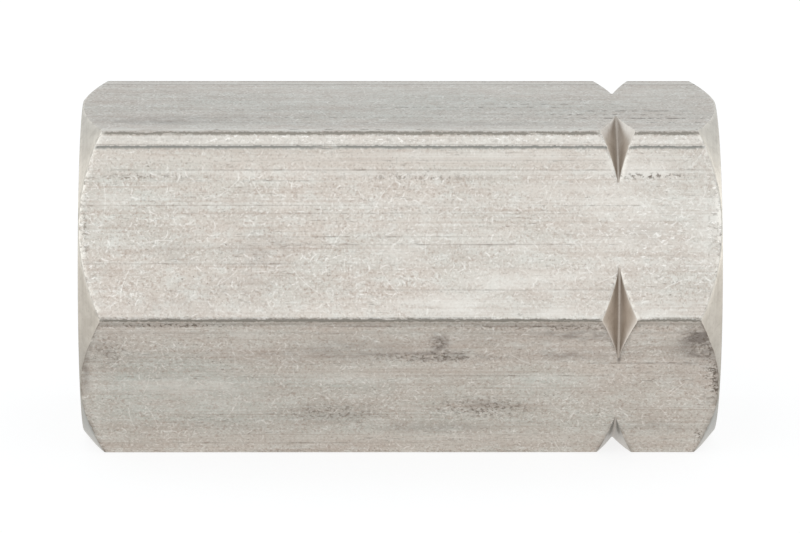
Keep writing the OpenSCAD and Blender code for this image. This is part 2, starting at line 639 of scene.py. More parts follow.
    def dress(self, nut: Object, finishes: dict[Surface, Finish]) -> None:
        """Gives the nut its materials.

        Args:
            nut: The nut's object.
            finishes: The finish of each kind of surface.
        """
        for surface in Surface:
            nut.data.materials.append(finishes[surface].build())

    def build(self) -> Object:
        """Builds the whole nut as one closed mesh.

        Returns:
            Its object.
        """
        outline = self.outline()
        grid = self.add_outside(outline)
        self.add_end_face(grid[0], outline, -self.sizes.end_x)
        self.add_end_face(grid[-1], outline, self.sizes.end_x)
        self.add_thread(1)
        self.add_thread(-1)
        return self.parts.build("nut")


class Pattern(ABC):
    """Something that covers the steel here and there."""

    within: "Mottle | None" = None   # larger patches that hold it, if any do

    @abstractmethod
    def add_mask(self, tree: NodeTree, place: Source, seed: float) -> Node:
        """Adds the nodes of the pattern alone; its arguments and what it returns are those of add."""

    def add(self, tree: NodeTree, place: Source, seed: float) -> Node:
        """Adds the nodes of the pattern, held by the larger patches if there are any.

        Args:
            tree: The node tree that gets them.
            place: Where a point of the surface lies, in millimetres.
            seed: Sets the pattern's noise apart from that of the others.

        Returns:
            The node of its mask, which goes from 0 to the pattern's strength.
        """
        mask = self.add_mask(tree, place, seed)
        if self.within:
            held = self.within.add(tree, place, seed + WITHIN_SEED)
            mask = add_node(tree, "Math", {"operation": "MULTIPLY"}, {0: mask, 1: held})
        return mask


@dataclass(frozen=True)
class Mottle(Pattern):
    """Cloudy patches of a real size, where the noise lies between two levels."""

    length: float                    # size along the first coordinate, in millimetres
    width: float                     # size along the others
    low: float                       # noise level where the patches start
    high: float                      # noise level where they are full
    strength: float = 1.0
    detail: float = 2.0
    within: "Mottle | None" = None
    harshness: float = 0.6           # how strong the noise's finer steps are

    def add_mask(self, tree: NodeTree, place: Source, seed: float) -> Node:
        """Adds the patches' nodes, and returns that of their mask; see Pattern.add."""
        scale = (1 / self.length, 1 / self.width, 1 / self.width)
        scaled = add_node(tree, "VectorMath", {"operation": "MULTIPLY_ADD", 1: scale, 2: (seed, seed, seed)},
                          {0: place})
        noise = add_node(tree, "TexNoise", {"Scale": 1.0, "Detail": self.detail, "Roughness": self.harshness},
                         {"Vector": scaled})
        return add_node(tree, "MapRange", {"interpolation_type": "SMOOTHSTEP", "From Min": self.low,
                                           "From Max": self.high, "To Max": self.strength}, {0: noise})


@dataclass(frozen=True)
class Strokes(Pattern):
    """Short fine scratches, one to a cell, each bent and at its own angle, as nuts leave on each other."""

    cell: float                   # size of a cell, in millimetres
    width: float                  # width of a scratch, in millimetres
    length: float                 # length of a scratch, as a share of a cell
    share: float                  # share of the cells that hold one
    strength: float
    bend: float                   # how far a scratch curves
    within: Mottle | None = None
    slant: float = 0.37           # how far a seed moves the cells across the bar for each step along it

    def add_mask(self, tree: NodeTree, place: Source, seed: float) -> Node:
        """Adds the scratches' nodes, and returns that of their mask; see Pattern.add."""
        moved = add_node(tree, "VectorMath", {"operation": "ADD", 1: (seed, self.slant * seed, 0)},
                         {0: place})
        cells = add_node(tree, "TexVoronoi", {"voronoi_dimensions": "2D", "Scale": 1 / self.cell},
                         {"Vector": moved})
        away = add_node(tree, "VectorMath", {"operation": "SUBTRACT"},
                        {0: moved, 1: cells.outputs["Position"]})
        chance = add_node(tree, "SeparateColor", links={0: cells.outputs["Color"]})
        angle = add_node(tree, "Math", {"operation": "MULTIPLY", 1: 2 * math.pi}, {0: chance})
        turned = add_node(tree, "VectorRotate", {"rotation_type": "Z_AXIS"},
                          {"Vector": away, "Angle": angle})
        local = add_node(tree, "SeparateXYZ", links={0: turned}).outputs
        square = add_node(tree, "Math", {"operation": "MULTIPLY"}, {0: local["Y"], 1: local["Y"]})
        curved = add_node(tree, "Math", {"operation": "MULTIPLY_ADD", 1: self.bend / self.cell},
                          {0: square, 2: local["X"]})
        across = add_node(tree, "Math", {"operation": "ABSOLUTE"}, {0: curved})
        thin = add_node(tree, "MapRange", {"From Min": self.width / 2, "From Max": 0.0,
                                           "To Max": self.strength}, {0: across})
        along = add_node(tree, "Math", {"operation": "ABSOLUTE"}, {0: local["Y"]})
        end = self.cell * self.length / 2
        short = add_node(tree, "MapRange", {"From Min": end, "From Max": end / 2}, {0: along})
        chosen = add_node(tree, "Math", {"operation": "LESS_THAN", 1: self.share}, {0: chance.outputs[1]})
        mask = add_node(tree, "Math", {"operation": "MULTIPLY"}, {0: thin, 1: short})
        return add_node(tree, "Math", {"operation": "MULTIPLY"}, {0: mask, 1: chosen})


@dataclass(frozen=True)
class Stripe:
    """A stripe along the bar, at a distance from the first corner of a flat."""

    start: float         # distance to its near edge, in millimetres
    stop: float          # distance to its far edge
    fade_in: float       # width over which it comes up
    fade_out: float      # width over which it goes down
    strength: float

    def add(self, tree: NodeTree, across: Source) -> Node:
        """Adds the stripe's nodes.

        Args:
            tree: The node tree that gets them.
            across: Distance from the first corner of the flat, in millimetres.

        Returns:
            The node of the stripe's mask, which goes from 0 to its strength.
        """
        rise = add_node(tree, "MapRange", {"From Min": self.start, "From Max": self.start + self.fade_in,
                                           "To Max": self.strength}, {0: across})
        fall = add_node(tree, "MapRange", {"From Min": self.stop, "From Max": self.stop - self.fade_out},
                        {0: across})
        return add_node(tree, "Math", {"operation": "MULTIPLY"}, {0: rise, 1: fall})


@dataclass(frozen=True)
class Mark:
    """A soft-edged spot at a set place on a flat, or a line where it is long and narrow."""

    x: float             # place of its middle along the bar, in millimetres
    place: float         # distance of its middle from the flat's first corner
    length: float
    width: float
    strength: float


MarkTable = dict[Flat, tuple[tuple[float, ...], ...]]   # the values of each Mark, by the flat that it is on


@dataclass(frozen=True)
class Marks(Pattern):
    """Marks of one kind, which a finer pattern breaks up."""

    table: MarkTable
    broken: Mottle

    def add_mask(self, tree: NodeTree, place: Source, seed: float) -> Node:
        """Adds the marks' nodes, and returns that of their mask; see Pattern.add."""
        total = None
        for flat, rows in self.table.items():
            for mark in (Mark(*row) for row in rows):
                scale = (2 / mark.length, 2 / mark.width, 0)
                middle = (-mark.x * scale[0], -(flat.value * STRIP_GAP + mark.place) * scale[1], 0)
                local = add_node(tree, "VectorMath", {"operation": "MULTIPLY_ADD", 1: scale, 2: middle},
                                 {0: place})
                away = add_node(tree, "VectorMath", {"operation": "LENGTH"}, {0: local}).outputs["Value"]
                inside = add_node(tree, "MapRange", {"interpolation_type": "SMOOTHSTEP", "From Min": 1.0,
                                                     "From Max": 0.0, "To Max": mark.strength}, {0: away})
                links = {1: inside} if total is None else {0: total, 1: inside}
                total = add_node(tree, "Math", {"operation": "ADD", 0: 0.0}, links)
        held = self.broken.add(tree, place, seed)
        return add_node(tree, "Math", {"operation": "MULTIPLY"}, {0: total, 1: held})


class Coat:
    """A material of bare metal, whose colour is built up in layers over a ground colour."""

    def __init__(self, name: str, ground: str) -> None:
        """Starts a material with its name and its ground colour."""
        self.material, self.tree = new_material(name)
        self.ground = ground
        self.colour: NodeSocket | None = None

    def lay(self, tint: str, *masks: Source) -> None:
        """Lays a colour over those below, as far as all of its masks let it.

        Args:
            tint: The layer's colour.
            masks: How much of it each lets show, from 0 to 1, at every place.
        """
        mask = masks[0]
        for other in masks[1:]:
            mask = add_node(self.tree, "Math", {"operation": "MULTIPLY"}, {0: mask, 1: other})
        links = {0: mask} if self.colour is None else {0: mask, MIX_BELOW: self.colour}
        layer = add_node(self.tree, "Mix", {"data_type": "RGBA", MIX_BELOW: linear(self.ground),
                                            MIX_ABOVE: linear(tint)}, links)
        self.colour = layer.outputs[MIXED]

    def finish(self, roughness: float) -> Material:
        """Gives the colour to bare metal, and ends the material with it.

        Args:
            roughness: The metal's roughness.

        Returns:
            The material.
        """
        metal = add_node(self.tree, "BsdfPrincipled", {"Metallic": 1.0, "Roughness": roughness},
                         {"Base Color": self.colour})
        add_node(self.tree, "OutputMaterial", links={"Surface": metal})
        return self.material


@dataclass(frozen=True)
class DrawnSteel(Finish):
    """Stainless steel bar, cold drawn and then tumbled."""

    # The die leaves a satin sheen with fine lines along the bar. Tumbling lays a pale felt of short scratches
    # over them, so that the flats look even and nearly matt, and grease and dirt stay in what lies deeper.
    sizes: NutSizes
    ground: str = "#c9c0b6"
    pale: str = "#d3d2cb"
    rosy: str = "#ab9b8f"            # the warm film that handling leaves in the drawn lines
    cool_grey_and_shade: str = "#bfc1b9"            # the grey of flats that tumbling has hazed over, and the painted shade on the top flat and the lower front flat
    scratch: str = "#efebe5"
    grime_and_shade: str = "#6f655b"
    stain: str = "#877f78"
    corner: str = "#8b857c"          # the painted shade along a corner, which stands for the dark reflection in its rounding
    # Worn metal, and the painted highlight of the pale strips at the corners and of some pale patches.
    worn: str = "#ddd8d0"
    line: str = "#8c8a84"            # the scored line: dirt in its bottom, which no tumbling reaches, and painted shade
    edge: str = "#f4eee4"            # the painted highlight along the turned edges, over clean metal that knocks keep bright
    roughness: float = 0.46
    darkest_line: Flat = Flat.FRONT_UPPER   # the flat whose scored line is painted darkest, with dirt and shade
    layer_seed: float = 17.3         # from one layer's noise to the next
    edge_highlight_share: float = 0.2          # how much of the painted edge highlight the flats other than the upper front one have

    def layers(self) -> tuple[tuple[Pattern, str], ...]:
        """Gives what covers the flats, from the bottom up, with the colour of each layer."""
        felt = Mottle(1.8, 1.4, 0.42, 0.6)
        # The grain is really a few hundredths of a millimetre across, and the scratches are as wide. They are
        # drawn at 0.09 to 0.15 millimetres, which is as fine as shows.
        return (
            (Mottle(7.0, 3.0, 0.42, 0.62, 0.3, 2), self.cool_grey_and_shade),
            (self.grey_patches_and_shade(), self.cool_grey_and_shade),
            (Mottle(3.4, 1.3, 0.42, 0.64, 0.22, 4), self.rosy),
            (Mottle(1.1, 0.7, 0.46, 0.66, 0.46, 4), self.pale),
            (Mottle(9.0, 0.3, 0.48, 0.7, 0.3, 2), self.rosy),
            (Mottle(0.15, 0.15, 0.48, 0.76, 0.72, 1), self.rosy),
            (Mottle(0.14, 0.15, 0.5, 0.76, 0.36, 1), self.scratch),
            (Strokes(0.34, 0.12, 0.9, 0.7, 0.5, 0.3, felt), self.scratch),
            (Strokes(0.66, 0.12, 0.9, 0.6, 0.62, 0.6, felt), self.scratch),
            (Strokes(2.4, 0.09, 1.0, 0.35, 0.44, 0.3), self.scratch),
            (self.smooth_bands(), self.ground),
            (Mottle(40.0, 0.1, 0.46, 0.72, 0.42, 1, Mottle(7.0, 1.2, 0.38, 0.62)), self.rosy),
            (Mottle(50.0, 0.15, 0.5, 0.7, 0.2, 1), self.pale),
            (Mottle(0.14, 0.15, 0.54, 0.76, 0.3, 1), self.grime_and_shade),
            (Mottle(0.6, 0.09, 0.58, 0.7, 0.5, 2, Mottle(5.0, 0.4, 0.5, 0.62)), self.grime_and_shade),
            (Mottle(0.26, 0.16, 0.62, 0.76, 0.7, 2, Mottle(2.6, 1.6, 0.45, 0.65)), self.grime_and_shade),
            (self.stains(), self.stain),
            (self.rubbing_and_highlights(), self.worn),
            (Marks(self.die_lines(), Mottle(7.0, 0.3, 0.3, 0.65, 0.4, 4)), self.stain),
            (Marks(self.die_lines(), Mottle(0.8, 0.3, 0.5, 0.68, 0.6, 4)), self.grime_and_shade),
            (self.dashes(), self.grime_and_shade),
            (self.pits(), self.grime_and_shade),
            (self.flecks_and_glint(), self.scratch),
        )

    def grey_patches_and_shade(self) -> Marks:
        """Gives the greyer patches of the flats. The marks that span the whole top flat and the lower part of
        the lower front flat are painted shade.
        """
        return Marks({
            # The first mark here and the fourth on the lower front flat are painted shade.
            Flat.TOP: ((0, 5.5, 60, 14, 0.6),),
            Flat.FRONT_UPPER: ((-15, 3.4, 16, 7, 0.5),),
            Flat.FRONT_LOWER: ((-11, 5.2, 16, 5, 1), (7.5, 5, 9, 3.4, 0.8), (-3, 5, 12, 3, 0.7),
                (0, 8, 60, 8, 0.6), (-14, 5.5, 16, 13, 0.7)),
        }, Mottle(3.4, 1.0, 0.1, 0.6, 1.0, 3))

    def smooth_bands(self) -> Marks:
        """Gives the bands along the bar that tumbling has hardly reached."""
        return Marks({
            Flat.FRONT_UPPER: ((-2, 1.7, 60, 1.9, 0.9), (8, 3.4, 26, 0.7, 0.6), (-2, 5.3, 30, 0.7, 0.4)),
            Flat.FRONT_LOWER: ((0, 4.2, 50, 1.2, 0.5), (0, 9.8, 50, 1.6, 0.6)),
        }, Mottle(6.0, 0.34, 0.2, 0.6, 0.9, 3))

    def stains(self) -> Marks:
        """Gives the dark smears, where grease and handling have dulled the flats."""
        return Marks({
            Flat.TOP: ((-12.5, 8.6, 16, 3.2, 0.34), (0, 9.7, 34, 1.8, 0.2), (6, 9.6, 14, 1.4, 0.2),
                (0, 0.4, 300, 1.6, 0.3), (-14.5, 9.3, 10, 1.8, 0.36)),
            Flat.FRONT_UPPER: ((-7.7, 7, 7, 3.4, 0.34), (-13, 7, 6, 2.4, 0.16),
                (13.6, 6, 3, 2.6, 0.3), (-11, 10, 14, 2.2, 0.2), (-14, 0.5, 12, 0.6, 0.5),
                (-9.5, 8.8, 10, 2, 0.22)),
            Flat.FRONT_LOWER: ((-2.8, 2.4, 11, 2.6, 0.34), (2, 2.9, 8, 1.1, 0.95),
                (2.2, 2, 1.6, 2.8, 0.8), (10, 1.1, 7, 2, 0.6), (16.9, 1.7, 3.8, 4.4, 0.6),
                (17, 1.3, 3.2, 2.6, 0.9), (4.8, 7, 5, 2.2, 0.36), (-4.2, 7.6, 8, 2.4, 0.32),
                (-16.9, 2.4, 3.4, 3.4, 0.26), (2, 8.8, 12, 1.4, 0.36), (6, 1.4, 30, 2.4, 0.16),
                (16.8, 2.4, 5.5, 5.5, 0.5), (0, 2.8, 70, 2.2, 0.16), (9.5, 2.8, 6, 1.4, 0.4),
                (12.25, 3.05, 0.35, 1.1, 1.4), (17.9, 4.6, 0.7, 6, 1), (-17.6, 4, 0.6, 6, 0.6),
                (14.5, 8.8, 7, 1.8, 0.3), (-9.5, 8.6, 9, 2.4, 0.14)),
        }, Mottle(0.9, 0.5, 0.25, 0.66, 1.0, 6))

    def rubbing_and_highlights(self) -> Marks:
        """Gives the paler patches, where rubbing has brightened the flats, and painted highlights: a pale
        line over the top flat's scored line that offsets its shade, a pale band along the top flat's front
        corner, and a glint near the right end of the upper front flat.
        """
        return Marks({
            # On the top flat the first two marks are painted highlight. On the upper front flat the third is
            # a painted glint.
            Flat.TOP: ((0, 0.9, 400, 0.3, 0.6), (0, 10.95, 400, 0.9, 1), (14.5, 4, 9, 8, 0.2),
                (0, 2.2, 44, 4.6, 0.3), (-4, 4.6, 12, 3, 0.25)),
            Flat.FRONT_UPPER: ((17.2, 5.5, 3.5, 8, 0.6), (7, 6.8, 8, 1.8, 0.4), (17.85, 4.2, 0.8, 5.5, 1),
                (-0.6, 7.2, 6, 2.2, 0.45), (-16, 4, 4, 1.6, 0.4), (8.5, 10.5, 5, 1.4, 0.6),
                (1, 9.7, 4, 1.2, 0.45), (8.3, 3.4, 9, 1.6, 0.3), (0, 2.5, 60, 0.8, 0.4),
                (6, 1.5, 26, 1.1, 0.5), (0, 4.2, 44, 1.1, 0.3), (13, 5, 12, 12, 0.45),
                (6.5, 8.8, 13, 3, 0.6), (2, 6, 14, 3, 0.35), (14, 10.7, 6, 1.4, 0.6),
                (3.2, 10.1, 9, 2, 0.6), (14, 2.2, 10, 2, 0.3)),
            Flat.FRONT_LOWER: ((8.4, 5, 8, 2.4, 0.4), (-12, 5.4, 14, 2.6, 0.6), (-3, 4.8, 9, 1.6, 0.4),
                (-8.5, 1.1, 3, 1.6, 0.5), (-13, 0.9, 10, 1.2, 0.3), (-10, 6.8, 14, 2.4, 0.3)),
        }, Mottle(2.2, 0.6, 0.25, 0.6, 1.0, 4))

    def die_lines(self) -> MarkTable:
        """Gives the long lines that faults in the die have drawn."""
        return {
            Flat.TOP: ((4, 6.6, 34, 0.3, 0.4), (8, 8.2, 24, 0.3, 0.5), (-2, 9.3, 30, 0.3, 0.5)),
            Flat.FRONT_UPPER: ((0, 1.3, 50, 0.1, 0.4), (4, 1.75, 44, 0.1, 0.5), (0, 2.3, 90, 0.13, 0.9),
                (-9, 2.93, 16, 0.12, 1), (12, 4.35, 20, 0.12, 0.7), (-8, 4.35, 30, 0.12, 1),
                (-2, 4.8, 18, 0.12, 0.7), (0, 6.15, 40, 0.12, 1), (4, 6.6, 30, 0.12, 1.2),
                (-10, 7.7, 26, 0.12, 0.9), (6, 9.2, 30, 0.12, 0.9)),
            Flat.FRONT_LOWER: ((-14, 0.4, 12, 0.3, 0.8), (-2, 0.45, 9, 0.24, 1.5), (8, 0.45, 16, 0.24, 1.4),
                (6.5, 4.5, 18, 0.16, 1.2), (14.5, 3.45, 12, 0.16, 1.3), (-12, 4.55, 20, 0.16, 0.6),
                (0, 2.7, 30, 0.2, 0.6), (-6, 10.1, 30, 0.2, 0.6)),
        }

    def dashes(self) -> Marks:
        """Gives the rows of short dark dashes on the top flat."""
        return Marks({
            Flat.TOP: ((9, 5.3, 16, 0.36, 0.9), (5, 6, 26, 0.36, 1.1), (13, 6.8, 16, 0.36, 1.1),
                (11, 7.6, 20, 0.36, 1.2), (14, 8.4, 18, 0.4, 1.3), (-6, 8.2, 24, 0.4, 0.8),
                (-10, 6.6, 14, 0.36, 0.7), (15.5, 9.3, 9, 0.4, 1)),
        }, Mottle(0.5, 0.6, 0.47, 0.6, 0.75, 3))

    def pits(self) -> Marks:
        """Gives the rows of small pits."""
        return Marks({
            Flat.FRONT_UPPER: ((14, 2.66, 8, 0.6, 1.2), (-14, 2.66, 10, 0.6, 0.75), (1, 2.7, 14, 0.7, 0.7),
                (0, 0.62, 90, 0.5, 0.7), (17.6, 5.5, 1.6, 8, 0.5), (-17.8, 6.5, 1.2, 9, 1)),
            Flat.FRONT_LOWER: ((16.8, 2, 4, 4, 0.7), (-16.2, 2.6, 5, 4.6, 0.6), (4.8, 7.2, 9, 2.6, 1),
                (9, 0.5, 24, 0.9, 1), (2, 3, 12, 1.4, 1), (-4, 7.6, 9, 2.4, 0.8),
                (17.5, 4.5, 1.6, 7, 1), (2.2, 2, 1.8, 3, 1), (17.3, 2, 0.8, 2.2, 0.9),
                (17.7, 3.6, 0.6, 2.2, 1.4), (17.8, 5.4, 0.6, 3.2, 1.2), (17, 9.4, 1.2, 2, 1),
                (-13, 0.36, 14, 0.5, 1.6), (16.8, 1.2, 3.4, 2.2, 0.6)),
        }, Mottle(0.2, 0.19, 0.5, 0.64, 0.8, 2))

    def flecks_and_glint(self) -> Marks:
        """Gives the bright specks where knocks have left clean metal, and a painted glint near the right end
        of the upper front flat.
        """
        return Marks({
            Flat.FRONT_UPPER: ((14, 6, 12, 12, 0.8), (17.6, 5.5, 2, 12, 0.8), (-17.6, 5.5, 2.4, 12, 0.9),
                (-15, 8.5, 7, 6, 0.6), (0, 0.5, 90, 0.9, 1.3), (0, 10.9, 90, 0.7, 0.7),
                # The last mark on this flat is a painted glint.
                (17.8, 4.2, 0.7, 5.5, 1.2)),
            Flat.FRONT_LOWER: ((13, 2, 12, 5, 0.5), (2, 2, 12, 4, 0.3)),
        }, Mottle(0.3, 0.15, 0.57, 0.72, 1.0, 3))

    def painted_corner_shade(self) -> Marks:
        """Gives the dark lines along the corners, which are painted shade: the dark reflection in each
        corner's rounding.
        """
        near = (0, 0.22, 400, 0.3, 1.5)
        table = {flat: (near,) for flat in Flat if flat not in (Flat.TOP, Flat.FRONT_LOWER)}
        table[Flat.FRONT_UPPER] = (near, (-2.5, self.sizes.side_length + 0.02, 90, 0.26, 2.0))
        table[Flat.FRONT_LOWER] = ((-2.5, 0.05, 90, 0.26, 1.9), (0, 0.3, 400, 0.5, 0.5))
        return Marks(table, Mottle(1.3, 0.14, 0.25, 0.5, 1.0, 3))

    def add_waver(self, tree: NodeTree, place: Source) -> Node:
        """Moves the unrolled map a little up and down, as lines drawn by a worn die waver.

        Args:
            tree: The node tree that gets the nodes.
            place: The map as it is.

        Returns:
            The node of the moved map.
        """
        long = Mottle(1.4, 30, 0.3, 0.7, 0.025).add(tree, place, 5.5)
        short = Mottle(0.2, 0.3, 0.3, 0.7, 0.07, 3).add(tree, place, 8.5)
        wave = add_node(tree, "Math", {"operation": "ADD"}, {0: long, 1: short})
        shift = add_node(tree, "CombineXYZ", links={"Y": wave})
        return add_node(tree, "VectorMath", {"operation": "ADD"}, {0: place, 1: shift})

    def add_flat(self, tree: NodeTree, down: Source, flat: Flat) -> Node:
        """Adds a mask that is 1 on one flat and 0 on the others.

        Args:
            tree: The node tree that gets the nodes.
            down: The unrolled map's second coordinate.
            flat: The flat.

        Returns:
            The node of the mask.
        """
        side = add_node(tree, "Math", {"operation": "DIVIDE", 1: STRIP_GAP}, {0: down})
        return add_node(tree, "Math", {"operation": "COMPARE", 1: flat.value + 0.5, 2: 0.5}, {0: side})

    def lay_stripes(self, coat: Coat, place: Source, down: Source) -> None:
        """Lays on the pale strips at both corners of a flat, which are painted highlight over worn metal, and
        the scored line between them, darkened by dirt and painted shade.

        Args:
            coat: What gets them.
            place: The unrolled map.
            down: Its second coordinate, wavering.
        """
        tree, line, end = coat.tree, self.sizes.line_offset, self.sizes.side_length
        across = add_node(tree, "Math", {"operation": "FLOORED_MODULO", 1: STRIP_GAP}, {0: down})
        plain = self.add_flat(tree, down, self.sizes.plain)
        scored = add_node(tree, "Math", {"operation": "SUBTRACT", 0: 1.0}, {1: plain})
        darkest_line = add_node(tree, "MapRange", {"To Min": 0.15}, {0: self.add_flat(tree, down, self.darkest_line)})
        uneven = Mottle(2.2, 0.2, 0.15, 0.45, 1.0, 4).add(tree, place, 2.5)
        # The pale strips are painted highlight over worn metal. The scored line's dark is dirt and painted
        # shade, strongest on the upper front flat.
        for stripe, tint, held in (
            (Stripe(0.37, line + 0.19, 0.06, 0.02, 0.45), self.worn, (scored,)),
            (Stripe(line + 0.17, line + 0.42, 0.03, 0.12, 0.95), self.line, (darkest_line, uneven)),
            (Stripe(end - 1.4, end - 0.1, 0.8, 0.01, 0.2), self.worn, (scored,)),
        ):
            coat.lay(tint, stripe.add(tree, across), *held)

    def lay_edges(self, coat: Coat, place: Source, down: Source) -> None:
        """Lays on the painted highlight of the turned edges, full on the upper front flat, which nicks break,
        and the dirt that sits in their chips.

        Args:
            coat: What gets them.
            place: The unrolled map.
            down: Its second coordinate, wavering.
        """
        tree = coat.tree
        edge = add_node(tree, "Attribute", {"attribute_name": EDGE}).outputs["Fac"]
        nicks = Mottle(0.5, 0.5, 0.42, 0.58, 0.95, 3).add(tree, place, 3.1)
        front = self.add_flat(tree, down, Flat.FRONT_UPPER)
        upper = add_node(tree, "MapRange", {"To Min": self.edge_highlight_share}, {0: front})
        # The edge highlight is painted light, full on the upper front flat and weaker on the others.
        coat.lay(self.edge, edge, nicks, upper)
        chips = Mottle(0.3, 0.3, 0.6, 0.68, 0.9, 3).add(tree, place, 6.1)
        caked = Mottle(0.6, 0.6, 0.3, 0.6, 0.8, 3).add(tree, place, 7.7)
        plain = self.add_flat(tree, down, self.sizes.plain)
        caked = add_node(tree, "Math", {"operation": "MULTIPLY"}, {0: caked, 1: plain})
        dark = add_node(tree, "Math", {"operation": "MAXIMUM"}, {0: chips, 1: caked})
        coat.lay(self.grime_and_shade, edge, dark)

    def build(self) -> Material:
        """Makes the material.

        Returns:
            The material.
        """
        coat = Coat("drawn_stainless_steel", self.ground)
        tree = coat.tree
        place = add_node(tree, "UVMap", {"uv_map": UNROLLED})
        for number, (pattern, tint) in enumerate(self.layers()):
            coat.lay(tint, pattern.add(tree, place, self.layer_seed * number))
        waver = self.add_waver(tree, place)
        # The dark lines along the corners are painted shade.
        coat.lay(self.corner, self.painted_corner_shade().add(tree, waver, 1.9))
        down = add_node(tree, "SeparateXYZ", links={0: waver}).outputs["Y"]
        self.lay_stripes(coat, place, down)
        self.lay_edges(coat, place, down)
        return coat.finish(self.roughness)


@dataclass(frozen=True)
class CutSteel(Finish):
    """Stainless steel as a cutting tool leaves it."""

    # The tool leaves fine rings about the axis, so the metal has a duller, greyer sheen than the drawn flats.
    # The edges where it left the work get a painted highlight above the axis, and are darker towards the
    # bottom.
    name: str
    ground: str
    pale: str
    dark: str
    feed: float                      # distance between rings, in millimetres
    roughness: float = 0.36
    root_r: float = 0.0              # radius of the root that shows as a bright line, if any
    root_x: float = 0.0              # its place along the bar
    under_shade_r: float = 0.0              # radius from which the underside gets painted shade, if it does
    root: str = "#eee6dc"            # clean metal in the root, and the painted light on the groove's right side
    grime_and_shade: str = "#8a7c6e"           # the darkening of the lower edges, and the painted shade deep in the groove and on its left side
    under_shade: str = "#9d9e9a"           # the painted shade of the underside
    # the painted highlight along the edges
    edge: str = "#e9e1d5"
    layer_seed: float = 11.7         # from one layer's noise to the next

    def lay_groove_light_and_shade(self, coat: Coat, radius: Source, x: Source) -> None:
        """Lays on the painted shade deep in the groove, the bright line of its root, and the painted shade
        and light of its sides: darker on the left, paler on the right.

        Args:
            coat: What gets them.
            radius: Distance of a point from the axis, in millimetres.
            x: Its place along the bar.
        """
        # Painted shade deep in the groove and on its left side, and painted light on its right side.
        for source, start, full, strength, tint in (
            (radius, self.root_r + 0.5, self.root_r, 0.6, self.grime_and_shade),
            (radius, self.root_r + 0.03, self.root_r + 0.01, 0.08, self.root),
            (x, self.root_x + 0.02, self.root_x - 0.02, 0.27, self.grime_and_shade),
            (x, self.root_x + 0.1, self.root_x + 0.5, 0.45, self.root),
        ):
            coat.lay(tint, add_node(coat.tree, "MapRange", {"From Min": start, "From Max": full,
                                                            "To Max": strength}, {0: source}))

    def lay_edges(self, coat: Coat, place: Source, z: Source) -> None:
        """Lays on the painted highlight of the edges above the axis, which nicks break, and makes the edges
        darker towards the bottom.

        Args:
            coat: What gets them.
            place: Where a point lies, in millimetres.
            z: Its height over the axis.
        """
        tree = coat.tree
        edge = add_node(tree, "Attribute", {"attribute_name": EDGE}).outputs["Fac"]
        # Edges above the axis get a painted highlight. Those more than 2 millimetres below it are darker
        # towards the bottom.
        nicks = Mottle(0.5, 0.5, 0.34, 0.5, 0.65, 3).add(tree, place, 4.3)
        lit_above = add_node(tree, "MapRange", {"From Min": -0.8, "From Max": 0.2, "To Min": 0.15}, {0: z})
        coat.lay(self.edge, edge, nicks, lit_above)
        low = add_node(tree, "MapRange", {"From Min": -2.0, "From Max": -4.0, "To Max": 0.7}, {0: z})
        coat.lay(self.grime_and_shade, edge, low, Mottle(0.6, 0.6, 0.3, 0.6, 1.0, 3).add(tree, place, 7.7))

    def lay_under_shade(self, coat: Coat, radius: Source, z: Source) -> None:
        """Lays on the painted shade of the underside, which is half as strong where the nut touches the
        floor.

        Args:
            coat: What gets it.
            radius: Distance of a point from the axis, in millimetres.
            z: Its height over the axis.
        """
        tree = coat.tree
        # The painted shade starts 1 millimetre below the axis, and the floor is 9.5 below it.
        under_shade = add_node(tree, "MapRange", {"From Min": -1.0, "From Max": -8.0, "To Max": 0.85}, {0: z})
        outer = add_node(tree, "MapRange", {"From Min": self.under_shade_r - 0.1, "From Max": self.under_shade_r + 0.1},
                         {0: radius})
        foot = add_node(tree, "MapRange", {"From Min": -9.2, "From Max": -7.4, "To Min": 0.5}, {0: z})
        coat.lay(self.under_shade, under_shade, outer, foot)

    def build(self) -> Material:
        """Makes the material.

        Returns:
            The material.
        """
        coat = Coat(self.name, self.ground)
        tree = coat.tree
        place = add_node(tree, "TexCoord").outputs["Object"]
        place = add_node(tree, "VectorMath", {"operation": "SCALE", "Scale": 1 / MM}, {0: place})
        from_axis = add_node(tree, "VectorMath", {"operation": "MULTIPLY", 1: (0, 1, 1)}, {0: place})
        radius = add_node(tree, "VectorMath", {"operation": "LENGTH"}, {0: from_axis}).outputs["Value"]
        spot = add_node(tree, "SeparateXYZ", links={0: place}).outputs
        # A pattern over the radius instead of X is drawn out into rings.
        turned = add_node(tree, "CombineXYZ", links={"X": radius, "Y": spot["Y"], "Z": spot["Z"]})
        for number, (pattern, tint, where) in enumerate((
            (Mottle(1.4, 1.4, 0.42, 0.64, 0.5, 3), self.pale, place),
            (Mottle(1.1, 1.1, 0.46, 0.66, 0.4, 4), self.dark, place),
            (Mottle(self.feed, 3.0, 0.4, 0.7, 0.3, 1), self.pale, turned),
            (Mottle(self.feed * 1.7, 4.0, 0.45, 0.72, 0.3, 1), self.dark, turned),
            (Mottle(0.2, 0.2, 0.5, 0.8, 0.5, 1), self.dark, place),
        )):
            coat.lay(tint, pattern.add(tree, where, self.layer_seed * number))
        if self.root_r:
            self.lay_groove_light_and_shade(coat, radius, spot["X"])
        self.lay_edges(coat, place, spot["Z"])
        if self.under_shade_r:
            self.lay_under_shade(coat, radius, spot["Z"])
        return coat.finish(self.roughness)


